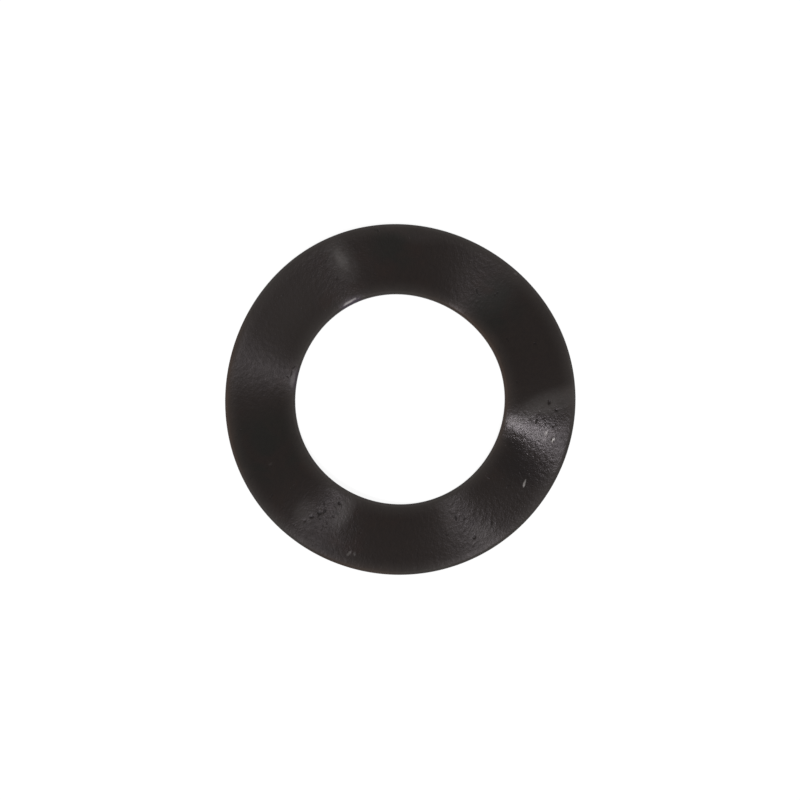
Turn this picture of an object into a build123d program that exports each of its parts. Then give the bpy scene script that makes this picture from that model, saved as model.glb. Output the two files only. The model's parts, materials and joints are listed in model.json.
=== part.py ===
from build123d import *
from build123d.topology import SkipClean
from math import cos, hypot, radians, sin
import os

# A three-wave spring washer, blanked from flat spring steel strip and pressed into waves.
# Millimetres and degrees. The origin is on the bore's axis, in the plane that the troughs
# touch. +Z runs up the bore, and +X passes through the middle of one crest.

# Driving dimensions
shaft_diameter = 12.0
shaft_clearance = 0.1
outside_diameter = 20.4
sheet_thickness = 0.5
wave_height = 1.6
wave_count = 3
crest_cap_angle = 40
edge_radius = 0.15

# Sizes that follow from them
bore_radius = shaft_diameter / 2 + shaft_clearance
rim_radius = outside_diameter / 2
amplitude = wave_height / 2
wave_angle = 360 / wave_count
flank_angle = wave_angle / 2 - crest_cap_angle
free_height = wave_height + sheet_thickness

# How the sheet's surface is drawn: it overhangs the ring a little on every side, and is then
# cut back to it.
overhang = sheet_thickness
overhang_angle = 4
points_along_wave = 49
points_across_ring = 5
surface_tolerance = 1e-5
on_wall = 1e-3


def middle_of_sheet(radius, angle):
    """A point halfway through the sheet's thickness. The height depends on the angle alone,
    so the sheet is level along every radius and its flanks are steepest at the bore."""
    height = amplitude * cos(wave_count * angle)
    return Vector(radius * cos(angle), radius * sin(angle), height)


def pressed_wave():
    """One wave of sheet at its full thickness, from trough to trough with its crest on +X."""
    first_radius = bore_radius - overhang
    last_radius = rim_radius + overhang
    width = last_radius - first_radius
    sweep = radians(wave_angle + 2 * overhang_angle)
    rows = []
    for step in range(points_along_wave):
        angle = sweep * (step / (points_along_wave - 1) - 0.5)
        row = []
        for place in range(points_across_ring):
            radius = first_radius + width * place / (points_across_ring - 1)
            row.append(middle_of_sheet(radius, angle))
        rows.append(row)
    middle = Face.make_surface_from_array_of_points(
        rows, tol=surface_tolerance, min_deg=3, max_deg=6
    )
    return thicken(middle, sheet_thickness / 2, both=True)


def blank_sector(start, sweep):
    """The round blank's outline over a range of angles: rim outside, bore inside."""
    tall = 2 * free_height
    about_axis = (Align.NONE, Align.NONE, Align.CENTER)
    rim = Cylinder(rim_radius, tall, arc_size=sweep, align=about_axis)
    bore = Cylinder(bore_radius, tall, align=about_axis)
    return Rot(0, 0, start) * (rim - bore)


def wave_stretches():
    """A wave's half trough, rising flank, crest cap, falling flank and half trough, each with
    walls of its own at the bore and the rim."""
    sheet = pressed_wave()
    sweeps = [
        crest_cap_angle / 2,
        flank_angle,
        crest_cap_angle,
        flank_angle,
        crest_cap_angle / 2,
    ]
    stretches = []
    start = -wave_angle / 2
    for sweep in sweeps:
        stretches.append((sheet & blank_sector(start, sweep)).solid())
        start += sweep
    return stretches


def is_long_edge(edge):
    """True for the edges that run round the bore and the rim, above and below."""
    first = edge.position_at(0)
    middle = edge.position_at(0.5)
    last = edge.position_at(1)
    upright = hypot(last.X - first.X, last.Y - first.Y) < on_wall
    for wall in (bore_radius, rim_radius):
        offsets = [abs(hypot(p.X, p.Y) - wall) for p in (first, middle, last)]
        if max(offsets) < on_wall and not upright:
            return True
    return False


def wave_washer():
    """The whole ring as one solid, with its tumbled edges, standing on its troughs."""
    stretches = []
    for wave in range(wave_count):
        turn = Rot(0, 0, wave * wave_angle)
        stretches += [turn * stretch for stretch in wave_stretches()]
    # The stretches' walls stay apart, so that each is no taller than its own stretch.
    with SkipClean():
        ring = stretches[0].fuse(*stretches[1:]).solid()
    ring = ring.fillet(edge_radius, ring.edges().filter_by(is_long_edge))
    return Pos(0, 0, amplitude + sheet_thickness / 2) * ring


os.makedirs("parts", exist_ok=True)
export_step(wave_washer(), "parts/wave_washer.step")
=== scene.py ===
import json
from math import atan2, cos, hypot, pi, radians, sin, sqrt, tan

import bmesh
import bpy
from mathutils import Matrix, Vector, noise


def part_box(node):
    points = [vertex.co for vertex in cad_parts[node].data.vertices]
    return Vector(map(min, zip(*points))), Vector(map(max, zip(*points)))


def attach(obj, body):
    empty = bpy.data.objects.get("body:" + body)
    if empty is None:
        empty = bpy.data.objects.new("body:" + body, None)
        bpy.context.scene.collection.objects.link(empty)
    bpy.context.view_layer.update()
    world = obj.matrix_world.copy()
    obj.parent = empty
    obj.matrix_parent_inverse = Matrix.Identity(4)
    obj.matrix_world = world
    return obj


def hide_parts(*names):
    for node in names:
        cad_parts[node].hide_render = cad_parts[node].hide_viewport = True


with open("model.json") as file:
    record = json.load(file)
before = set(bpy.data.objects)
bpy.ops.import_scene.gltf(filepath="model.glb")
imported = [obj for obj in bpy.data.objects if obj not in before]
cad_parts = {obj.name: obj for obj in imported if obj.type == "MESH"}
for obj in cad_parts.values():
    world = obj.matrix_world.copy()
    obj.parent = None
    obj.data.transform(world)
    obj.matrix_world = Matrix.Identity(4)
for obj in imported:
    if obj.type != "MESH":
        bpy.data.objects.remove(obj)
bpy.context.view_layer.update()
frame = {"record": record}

# A pressed spring-steel wave washer. It is spun as a flat blank with rounded edges, then
# pressed into its waves as the real one is, and marked with the pits and nicks of tumbling.
# Metres and radians, in the frame of the CAD model: +X runs through one crest.

MM = 0.001

# Sizes that come from the frame
bore = next(m for m in frame["record"]["mounts"] if m["name"] == "bore")
bore_radius = bore["dims"]["r_mm"] * MM
washer_low, washer_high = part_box("wave_washer")
rim_radius = (washer_high.x - washer_low.x) / 2
free_height = washer_high.z

# The sheet and its waves
wave_count = 3
sheet_thickness = 0.5 * MM
amplitude = (free_height - sheet_thickness) / 2
edge_radius = 0.15 * MM


class Sockets:
    """One output socket, with arithmetic that adds Math nodes, and a maker for other nodes."""

    def __init__(self, tree, socket):
        self.tree = tree
        self.socket = socket

    def _math(self, operation, *values):
        return make(self.tree, "ShaderNodeMath", {"operation": operation}, values)

    def __add__(self, other):
        return self._math("ADD", self, other)

    __radd__ = __add__

    def __sub__(self, other):
        return self._math("SUBTRACT", self, other)

    def __rsub__(self, other):
        return self._math("SUBTRACT", other, self)

    def __mul__(self, other):
        return self._math("MULTIPLY", self, other)

    __rmul__ = __mul__

    def __truediv__(self, other):
        return self._math("DIVIDE", self, other)

    def __pow__(self, other):
        return self._math("POWER", self, other)

    def clamped(self):
        return self._math("MINIMUM", self._math("MAXIMUM", self, 0.0), 1.0)

    def between(self, low, high):
        """0 below low, 1 above high, and a smooth rise from one to the other."""
        values = {"Value": self, "From Min": low, "From Max": high}
        settings = {"interpolation_type": "SMOOTHSTEP"}
        return make(self.tree, "ShaderNodeMapRange", settings, values)


def make(tree, kind, settings=None, values=(), output=0):
    """A node with its settings set first, then its sockets filled with numbers or links."""
    node = tree.nodes.new(kind)
    for name, setting in (settings or {}).items():
        setattr(node, name, setting)
    pairs = values.items() if isinstance(values, dict) else enumerate(values)
    for key, value in pairs:
        socket = node.inputs[key]
        if isinstance(value, Sockets):
            tree.links.new(value.socket, socket)
        else:
            socket.default_value = value
    return Sockets(tree, node.outputs[output]) if node.outputs else None


def new_material(name):
    material = bpy.data.materials.new(name)
    material.use_nodes = True
    material.node_tree.nodes.clear()
    return material, material.node_tree


def mix_colour(tree, share, first, second):
    """The first colour where the share is 0 and the second where it is 1."""
    settings = {"data_type": "RGBA"}
    return make(tree, "ShaderNodeMix", settings, {0: share, 6: first, 7: second}, output=2)


def vector_math(tree, operation, *values, output=0):
    return make(tree, "ShaderNodeVectorMath", {"operation": operation}, values, output)


def seen_rays(tree):
    """1 for rays from the eye or from a reflection, and 0 for rays of plain light."""
    camera_ray = make(tree, "ShaderNodeLightPath", output="Is Camera Ray")
    glossy_ray = make(tree, "ShaderNodeLightPath", output="Is Glossy Ray")
    glass_ray = make(tree, "ShaderNodeLightPath", output="Is Transmission Ray")
    return (camera_ray + glossy_ray + glass_ray).clamped()


# The ring -------------------------------------------------------------------------------

# How finely the mesh is divided, across the sheet and round the ring
top_columns = 62
under_columns = 24
wall_rows = 3
corner_segments = 5
ring_steps = 840

# How the sheet's faces depart from flat: rollover at the edges, long swell and fine pebble
roll_width = 0.45 * MM
roll_depth = 0.03 * MM
swell_size = 1.7 * MM
swell_depth = 0.006 * MM
pebble_size = 0.21 * MM
pebble_depth = 0.005 * MM

# Pits and nicks from tumbling: radius and position round the ring, length, width and depth
# in millimetres, the way the long side points, and how much oxide the nick has lost or, for
# the painted glints on the bore edge, how bright the glint is painted. Below 0 it is a pit
# that holds black scale.
marks = [
    (8.74, 332.4, 0.60, 0.16, 0.012, 79, 0.62),
    # A real nick, painted as bright bare steel where it glints, so partly a painted highlight
    (9.21, 350.9, 0.36, 0.10, 0.020, 58, 0.90),
    (8.73, 352.6, 0.28, 0.20, 0.010, 60, 0.40),
    (9.42, 257.6, 0.42, 0.15, 0.012, 60, 0.10),
    (9.36, 259.4, 0.30, 0.12, 0.012, 110, 0.08),
    (8.38, 213.1, 0.26, 0.16, 0.010, 40, 0.02),
    (8.62, 211.4, 0.22, 0.12, 0.010, 120, -0.25),
    (8.20, 209.8, 0.18, 0.12, 0.010, 20, -0.25),
    (10.00, 53.1, 0.24, 0.12, 0.020, 140, 0.06),
    (6.97, 246.1, 0.22, 0.18, 0.026, 95, -0.7),
    (8.05, 241.1, 0.22, 0.18, 0.026, 20, -0.7),
    (8.53, 239.5, 0.24, 0.15, 0.026, 30, -0.7),
    (7.82, 246.6, 0.15, 0.12, 0.020, 60, -0.5),
    (8.94, 238.5, 0.22, 0.10, 0.014, 5, -0.3),
    (9.13, 304.4, 0.20, 0.16, 0.030, 80, -0.6),
    (8.94, 312.6, 0.18, 0.14, 0.026, 80, -0.5),
    (9.10, 1.5, 0.22, 0.15, 0.026, 60, -0.6),
    (8.67, 4.2, 0.28, 0.15, 0.024, 75, -0.5),
    # The next two are painted glints of light on the bore's rounded edge, not nicks
    (6.29, 122.8, 0.95, 0.13, 0.004, 38, 0.45),
    (6.34, 175.3, 1.05, 0.24, 0.004, 85, 0.06),
]

# Broad places painted lighter, or darker where the last number is below 0: painted highlight and
# shade on the bands of light, and oxide rubbed thin or heavy elsewhere. Same order, no depth.
rubbed_and_lit_places = [
    (8.45, 2.7, 5.4, 1.9, 30, 0.055),
    (8.70, 118.5, 3.4, 2.0, 125, 0.040),
    (8.75, 118.6, 1.9, 0.8, 122, 0.050),
    (8.62, 236.5, 2.2, 1.6, 80, 0.030),
    (7.40, 249.5, 2.6, 1.3, 66, 0.050),
    (8.10, 146.0, 6.0, 5.4, 146, 0.012),
    (8.60, 54.0, 5.0, 3.0, 54, 0.010),
    (9.45, 90.0, 3.4, 1.0, 180, 0.010),
    (9.20, 308.0, 2.4, 1.8, 20, 0.030),
    (7.60, 298.0, 3.0, 1.2, 298, 0.015),
    (6.80, 354.5, 1.6, 1.0, 350, 0.060),
    (8.20, 350.9, 2.6, 0.6, 336, 0.050),
    (8.70, 356.8, 1.8, 0.7, 340, -0.300),
    (7.20, 344.6, 1.8, 0.9, 330, -0.400),
    (8.20, 337.0, 4.2, 2.8, 337, -0.500),
    (9.85, 352.0, 2.6, 1.1, 83, -0.400),
    (9.80, 250.0, 3.0, 1.0, 160, -0.350),
]


def blank_outline(bm):
    """The flat blank's cross-section on the +X side: a bar of sheet with rounded corners."""
    width = rim_radius - bore_radius
    bmesh.ops.create_grid(bm, x_segments=1, y_segments=1, size=0.5)
    bmesh.ops.scale(bm, vec=(width, sheet_thickness, 1), verts=bm.verts)
    bmesh.ops.rotate(bm, matrix=Matrix.Rotation(pi / 2, 3, "X"), verts=bm.verts)
    bmesh.ops.translate(bm, vec=((bore_radius + rim_radius) / 2, 0, 0), verts=bm.verts)
    bmesh.ops.bevel(
        bm,
        geom=bm.verts[:],
        offset=edge_radius,
        offset_type="OFFSET",
        affect="VERTICES",
        segments=corner_segments,
        profile=0.5,
        material=-1,
    )
    rounded = 2.5 * edge_radius
    long_side = width - rounded
    short_side = sheet_thickness - rounded
    over, under, walls = [], [], []
    for edge in bm.edges:
        middle = (edge.verts[0].co + edge.verts[1].co) / 2
        if edge.calc_length() > long_side:
            (over if middle.z > 0 else under).append(edge)
        elif edge.calc_length() > short_side:
            walls.append(edge)
    bmesh.ops.subdivide_edges(bm, edges=over, cuts=top_columns - 1)
    bmesh.ops.subdivide_edges(bm, edges=under, cuts=under_columns - 1)
    bmesh.ops.subdivide_edges(bm, edges=walls, cuts=wall_rows - 1)
    bmesh.ops.delete(bm, geom=bm.faces[:], context="FACES_ONLY")


def footprint(x, y, radius, place, length, width, turn):
    """How deep a point lies in a mark: 1 at its middle and 0 outside it."""
    across_x = x - radius * MM * cos(radians(place))
    across_y = y - radius * MM * sin(radians(place))
    along = across_x * cos(radians(turn)) + across_y * sin(radians(turn))
    aside = across_y * cos(radians(turn)) - across_x * sin(radians(turn))
    reach = (2 * along / (length * MM)) ** 2 + (2 * aside / (width * MM)) ** 2
    return max(0.0, 1 - reach)


def edge_roll(radius):
    """How far the sheet's face falls away beside the bore and the rim, from blanking."""
    inset = min(radius - bore_radius, rim_radius - radius)
    return roll_depth * max(0.0, 1 - inset / roll_width) ** 2


def relief(x, y, side):
    """How far the rolled and tumbled face lies under its nominal height."""
    swell = noise.noise(Vector((x, y, side * swell_size)) / swell_size)
    pebble = noise.noise(Vector((x, y, side * swell_size)) / pebble_size)
    return swell_depth * (swell + 1) / 2 + pebble_depth * (pebble + 1) / 2


def press(x, y, height):
    """Where a point of the flat blank goes when the waves are pressed in. Its radius stays."""
    radius = hypot(x, y)
    angle = atan2(y, x)
    slope = -amplitude * wave_count * sin(wave_count * angle) / radius
    stretch = sqrt(1 + slope**2)
    turned = angle - height * slope / stretch / radius
    level = amplitude * cos(wave_count * angle) + height / stretch
    lift = amplitude + sheet_thickness / 2
    return Vector((radius * cos(turned), radius * sin(turned), level + lift))


def pressed_ring():
    bm = bmesh.new()
    blank_outline(bm)
    bmesh.ops.spin(
        bm,
        geom=bm.verts[:] + bm.edges[:],
        cent=(0, 0, 0),
        axis=(0, 0, 1),
        angle=2 * pi,
        steps=ring_steps,
        use_merge=True,
    )
    bmesh.ops.remove_doubles(bm, verts=bm.verts, dist=0.001 * MM)
    bmesh.ops.recalc_face_normals(bm, faces=bm.faces)
    bare_and_painted_light = bm.verts.layers.float.new("bare_and_painted_light")
    half = sheet_thickness / 2
    for vertex in bm.verts:
        x, y, height = vertex.co
        side = 1 if height > 0 else -1
        share = abs(height) / half
        drop = edge_roll(hypot(x, y)) + relief(x, y, side)
        if side > 0:
            lost_and_lit = 0.0
            # Painted highlight and shade on the bands of light, and rubbed oxide elsewhere
            for radius, place, length, width, turn, bare_and_light_share in rubbed_and_lit_places:
                lost_and_lit += bare_and_light_share * footprint(x, y, radius, place, length, width, turn) ** 1.5
            for radius, place, length, width, depth, turn, bare_and_light_share in marks:
                inside = footprint(x, y, radius, place, length, width, turn)
                drop += depth * MM * inside
                lost_and_lit += bare_and_light_share * min(1.0, 2.5 * inside)
            vertex[bare_and_painted_light] = lost_and_lit
        vertex.co = press(x, y, height - side * share * drop)
    for face in bm.faces:
        face.smooth = True
    mesh = bpy.data.meshes.new("pressed_ring")
    bm.to_mesh(mesh)
    bm.free()
    ring = bpy.data.objects.new("pressed_ring", mesh)
    bpy.context.scene.collection.objects.link(ring)
    return ring


# The finish -----------------------------------------------------------------------------

warm_black = (0.0122, 0.0092, 0.0074, 1)
green_black = (0.0092, 0.0089, 0.0070, 1)
rust_black = (0.0150, 0.0097, 0.0075, 1)
# Black scale in pits, also laid on the bands of light as painted shade
scale_and_shade_black = (0.0030, 0.0025, 0.0025, 1)
# Bare steel for nicks, also used to paint the glints on the bore edge
bare_steel_and_glint = (0.4600, 0.4350, 0.4200, 1)
# Lighter worn edges, also used for the rounded edges' painted highlight
worn_and_lit_edge = (0.0400, 0.0355, 0.0325, 1)
# Brown painted reflection on some sides of the edges
reflection_brown = (0.0490, 0.0345, 0.0270, 1)
# Violet painted halo round the bore edge's glints
glint_halo_violet = (0.0550, 0.0455, 0.0590, 1)

# Patterns in the oxide: how many to a millimetre
patches_per_mm = 0.42
clouds_per_mm = 0.55
specks_per_mm = 3.1
grain_per_mm = 4.6
fine_per_mm = 13.0
rolling_direction = radians(79)
rolling_stretch = 1.3

# How deep the grain and pits are in millimetres, and how dull the plain oxide is
grain_height = 0.016
fine_height = 0.006
pit_height = 0.012
plain_roughness = 0.34

# How far in millimetres wear reaches in from an edge, and how far the painted edge reflections
# reach
wear_reach = 1.0
edge_reflection_reach = 0.7

# Where the oxide is smoother or duller than elsewhere: radius and position round the ring,
# how far the patch reaches in millimetres, and the change in roughness at its middle
finish_patches = [
    (8.10, 347.5, 3.4, -0.120),
    (7.20, 344.5, 1.3, -0.040),
    (8.20, 318.0, 3.6, -0.035),
    (8.90, 117.5, 1.4, -0.050),
    (8.20, 171.0, 3.0, 0.040),
    (8.20, 58.0, 2.6, 0.020),
    (9.70, 247.0, 1.8, 0.070),
    (8.00, 259.0, 1.9, -0.040),
    (9.85, 350.0, 1.3, 0.060),
]


def dark_spring_steel():
    """Hardened steel under a thin black-brown oxide, pebbled, pitted and worn at its edges, with
    glints, edge highlights, edge reflections and highlight and shade on its bands of light painted
    into its colour.
    """
    material, tree = new_material("dark_spring_steel")

    def noise_of(vector, per_mm, detail, roughness=0.55, distortion=0.0):
        values = {
            "Vector": vector,
            "Scale": per_mm,
            "Detail": detail,
            "Roughness": roughness,
            "Distortion": distortion,
        }
        return make(tree, "ShaderNodeTexNoise", {"noise_dimensions": "3D"}, values)

    place = make(tree, "ShaderNodeTexCoord", output=3)
    in_mm = vector_math(tree, "MULTIPLY", place, (1 / MM, 1 / MM, 1 / MM))

    # Patches and clouds are a few millimetres across, and the grain follows the rolling
    patches = noise_of(in_mm, patches_per_mm, 4.0, distortion=0.6)
    shifted = vector_math(tree, "ADD", in_mm, (31.0, 17.0, 5.0))
    clouds = noise_of(shifted, clouds_per_mm, 3.0)
    rolled = make(
        tree,
        "ShaderNodeMapping",
        {"vector_type": "TEXTURE"},
        {
            "Vector": in_mm,
            "Rotation": (0, 0, rolling_direction),
            "Scale": (rolling_stretch, 1.0, 1.0),
        },
    )
    grain = noise_of(rolled, grain_per_mm, 3.0, roughness=0.66)
    fine = noise_of(rolled, fine_per_mm, 2.0)
    specks = noise_of(rolled, specks_per_mm, 1.0, distortion=0.8)

    # Where a point lies on the ring
    flat = vector_math(tree, "MULTIPLY", in_mm, (1, 1, 0))
    radius = vector_math(tree, "LENGTH", flat, output=1)

    def facing(place_degrees, spread_degrees):
        """1 on the ring's side at a position, falling to 0 a spread away on either hand."""
        out = (cos(radians(place_degrees)), sin(radians(place_degrees)), 0)
        share = vector_math(tree, "DOT_PRODUCT", flat, out, output=1) / radius
        return share.between(cos(radians(spread_degrees)), 1.0)

    def near(patch_radius, place_degrees, reach):
        """1 in the middle of a patch of the face, falling to 0 at its edge."""
        turn = radians(place_degrees)
        middle = (patch_radius * cos(turn), patch_radius * sin(turn), 0)
        away = vector_math(tree, "DISTANCE", flat, middle, output=1)
        return 1 - away.between(0.35 * reach, reach)

    # The oxide is warm black, with greener stretches and rusty clouds
    green = (near(8.1, 206, 2.9) + near(8.8, 98, 1.8) + near(7.9, 50, 2.1)).clamped()
    green = green * patches.between(0.32, 0.50)
    colour = mix_colour(tree, green, warm_black, green_black)
    colour = mix_colour(tree, clouds.between(0.52, 0.72) * 0.7, colour, rust_black)

    # Small uneven pits left by rolling scale, closer together in two places
    pitted = (near(8.1, 243, 2.3) + near(8.6, 359, 1.9) * 0.6).clamped()
    pits = specks.between(0.70, 0.80) * clouds.between(0.38, 0.58)
    pits = (pits + specks.between(0.58, 0.74) * pitted * 0.4).clamped()
    mottle = ((grain - 0.36) * 1.1 + pits).clamped()
    colour = mix_colour(tree, mottle * 0.75, colour, scale_and_shade_black)

    # Wear: the oxide thins towards the edges. The rounded edges are lighter still, a painted
    # highlight
    from_bore = radius - bore_radius / MM
    from_rim = rim_radius / MM - radius
    inset = make(tree, "ShaderNodeMath", {"operation": "MINIMUM"}, (from_bore, from_rim))
    thinned = (1 - inset / wear_reach).clamped() ** 2 * (0.55 + clouds - mottle * 0.5)
    # The rounded edges themselves get a painted highlight
    edge_highlight = 1 - inset.between(0.13, 0.22)
    at_bore = 1 - from_bore.between(0.0, edge_reflection_reach)
    at_rim = 1 - from_rim.between(0.0, edge_reflection_reach)
    # Painted reflections: brown on some sides of the edges, lilac round the bore's two glints
    painted_edge_reflection = at_bore * facing(28, 68) + at_rim * (facing(186, 35) + facing(261, 20) * 0.8)
    painted_glint_halo = (near(6.2, 122.8, 0.9) + near(6.3, 175.0, 0.9) * 0.5).clamped() * at_bore
    wear_and_edge_light_colour = mix_colour(tree, painted_edge_reflection.clamped(), worn_and_lit_edge, reflection_brown)
    wear_and_edge_light_colour = mix_colour(tree, painted_glint_halo, wear_and_edge_light_colour, glint_halo_violet)
    wear_and_edge_light_share = (thinned * 0.75 + edge_highlight * 0.30).clamped()
    colour = mix_colour(tree, wear_and_edge_light_share, colour, wear_and_edge_light_colour)

    # Nicks are bare and pits hold scale. The same share paints the bore's glints, and highlight
    # and shade on the bands of light
    bare_and_painted_light = make(tree, "ShaderNodeAttribute", {"attribute_name": "bare_and_painted_light"}, output=2)
    colour = mix_colour(tree, (bare_and_painted_light * (0.5 + grain)).clamped(), colour, bare_steel_and_glint)
    colour = mix_colour(tree, (0 - bare_and_painted_light).clamped(), colour, scale_and_shade_black)

    # The grain and pits are felt too, less so on one side where the oxide is smooth
    rough = plain_roughness + (grain - 0.5) * 0.20 + pits * 0.15
    for patch_radius, place_degrees, reach, change in finish_patches:
        rough = rough + near(patch_radius, place_degrees, reach) * change
    coarse = 1 - facing(150, 34) * 0.45
    height = ((grain - 0.5) * grain_height + (fine - 0.5) * fine_height) * coarse
    height = height - pits * pit_height
    bump = make(
        tree,
        "ShaderNodeBump",
        values={"Strength": 1.0, "Distance": MM, "Height": height},
    )
    shader = make(
        tree,
        "ShaderNodeBsdfPrincipled",
        values={
            "Base Color": colour,
            "Roughness": rough.clamped(),
            "Normal": bump,
            "Specular IOR Level": 0.11,
            "Specular Tint": (1.0, 0.92, 0.98, 1.0),
        },
    )
    make(tree, "ShaderNodeOutputMaterial", values={"Surface": shader})
    return material


# The stage ------------------------------------------------------------------------------

floor_radius = 0.6
backdrop_height = 0.3
cove_radius = 0.12
floor_sides = 96
cove_steps = 8

# The floor's own paint, the light it gives back to the washer, and how bright it looks
floor_paint = 0.15
floor_bounce = 0.30
floor_glow = 0.90


def white_stage_material():
    """Near white to the eye, with a soft share of plain paint that takes the shadow. Seen
    from below it is clear, so that the washer's underside can be looked at."""
    material, tree = new_material("stage_white")
    paint = make(tree, "ShaderNodeBsdfDiffuse", values={"Color": (*[floor_paint] * 3, 1)})
    strength = floor_bounce + seen_rays(tree) * (floor_glow - floor_bounce)
    glow = make(tree, "ShaderNodeEmission", values={"Color": (1, 1, 1, 1), "Strength": strength})
    lit = make(tree, "ShaderNodeAddShader", values=(paint, glow))
    clear = make(tree, "ShaderNodeBsdfTransparent")
    below = make(tree, "ShaderNodeNewGeometry", output="Backfacing")
    both = make(tree, "ShaderNodeMixShader", values=(below, lit, clear))
    make(tree, "ShaderNodeOutputMaterial", values={"Surface": both})
    return material


def stage():
    """A round floor at the troughs' level that curves up into a low backdrop."""
    bm = bmesh.new()
    rows = [(0.0, 0.0), (floor_radius - cove_radius, 0.0)]
    for step in range(1, cove_steps + 1):
        turn = pi / 2 * step / cove_steps
        out = floor_radius - cove_radius + cove_radius * sin(turn)
        rows.append((out, cove_radius * (1 - cos(turn))))
    rows.append((floor_radius, backdrop_height))
    last = None
    for out, up in rows:
        vertex = bm.verts.new((out, 0, up))
        if last is not None:
            bm.edges.new((last, vertex))
        last = vertex
    bmesh.ops.spin(
        bm,
        geom=bm.verts[:] + bm.edges[:],
        cent=(0, 0, 0),
        axis=(0, 0, 1),
        angle=2 * pi,
        steps=floor_sides,
        use_merge=True,
    )
    bmesh.ops.remove_doubles(bm, verts=bm.verts, dist=0.01 * MM)
    bmesh.ops.recalc_face_normals(bm, faces=bm.faces)
    middle = min(bm.faces, key=lambda face: face.calc_center_median().length)
    if middle.normal.z < 0:
        bmesh.ops.reverse_faces(bm, faces=bm.faces)
    mesh = bpy.data.meshes.new("stage")
    bm.to_mesh(mesh)
    bm.free()
    for polygon in mesh.polygons:
        polygon.use_smooth = True
    floor = bpy.data.objects.new("stage", mesh)
    bpy.context.scene.collection.objects.link(floor)
    mesh.materials.append(white_stage_material())


# The light and the camera ---------------------------------------------------------------

# The view's own directions, as turns about the bore from +X
view_right = radians(5.9)
view_up = radians(95.9)
centre = Vector((0, 0, free_height / 2))


def towards(lean, right, up):
    """A direction that leans off the bore's axis by an angle, towards a mix of right and up."""
    side = Vector((cos(view_right), sin(view_right), 0)) * right
    side += Vector((cos(view_up), sin(view_up), 0)) * up
    side.normalize()
    return (Vector((0, 0, 1)) * cos(lean) + side * sin(lean)).normalized()


key_distance = 0.6
key_size = 0.06
key_lean = radians(10.4)
key_level = 0.45
room_level = 0.67


def key_lamp():
    """One soft lamp nearly overhead. With the room's light, white paint renders white."""
    data = bpy.data.lights.new("key_lamp", "AREA")
    data.shape = "DISK"
    data.size = key_size
    data.energy = key_level * (pi * key_distance) ** 2
    lamp = bpy.data.objects.new("key_lamp", data)
    direction = towards(key_lean, 0.0, -1.0)
    lamp.location = centre + direction * key_distance
    lamp.rotation_mode = "QUATERNION"
    lamp.rotation_quaternion = direction.to_track_quat("Z", "Y")
    bpy.context.scene.collection.objects.link(lamp)


def surroundings():
    """The room's even light, and white where the eye or a reflection meets it."""
    world = bpy.data.worlds.new("surroundings")
    world.use_nodes = True
    tree = world.node_tree
    tree.nodes.clear()
    strength = room_level + seen_rays(tree) * (1 - room_level)
    glow = make(tree, "ShaderNodeBackground", values={"Color": (1, 1, 1, 1), "Strength": strength})
    make(tree, "ShaderNodeOutputWorld", values={"Surface": glow})
    bpy.context.scene.world = world


camera_distance = 0.1725
camera_lean = radians(3.33)
field_of_view = radians(15.36)
aim_right = 0.034 * MM
aim_up = -0.046 * MM


def camera():
    data = bpy.data.cameras.new("camera")
    data.sensor_width = 36
    data.lens = data.sensor_width / 2 / tan(field_of_view / 2)
    data.clip_start = 0.01
    data.clip_end = 10
    eye = bpy.data.objects.new("camera", data)
    back = towards(camera_lean, 0.0149, -0.0562)
    right = Vector((cos(view_up), sin(view_up), 0)).cross(back).normalized()
    up = back.cross(right)
    aim = right * aim_right + up * aim_up
    eye.matrix_world = Matrix.Translation(centre + aim + back * camera_distance) @ Matrix(
        (
            (right.x, up.x, back.x, 0),
            (right.y, up.y, back.y, 0),
            (right.z, up.z, back.z, 0),
            (0, 0, 0, 1),
        )
    )
    bpy.context.scene.collection.objects.link(eye)
    bpy.context.scene.camera = eye


ring = pressed_ring()
ring.data.materials.append(dark_spring_steel())
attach(ring, "root")
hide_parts("wave_washer")

stage()
surroundings()
key_lamp()
camera()

bpy.context.scene.view_settings.view_transform = "Standard"
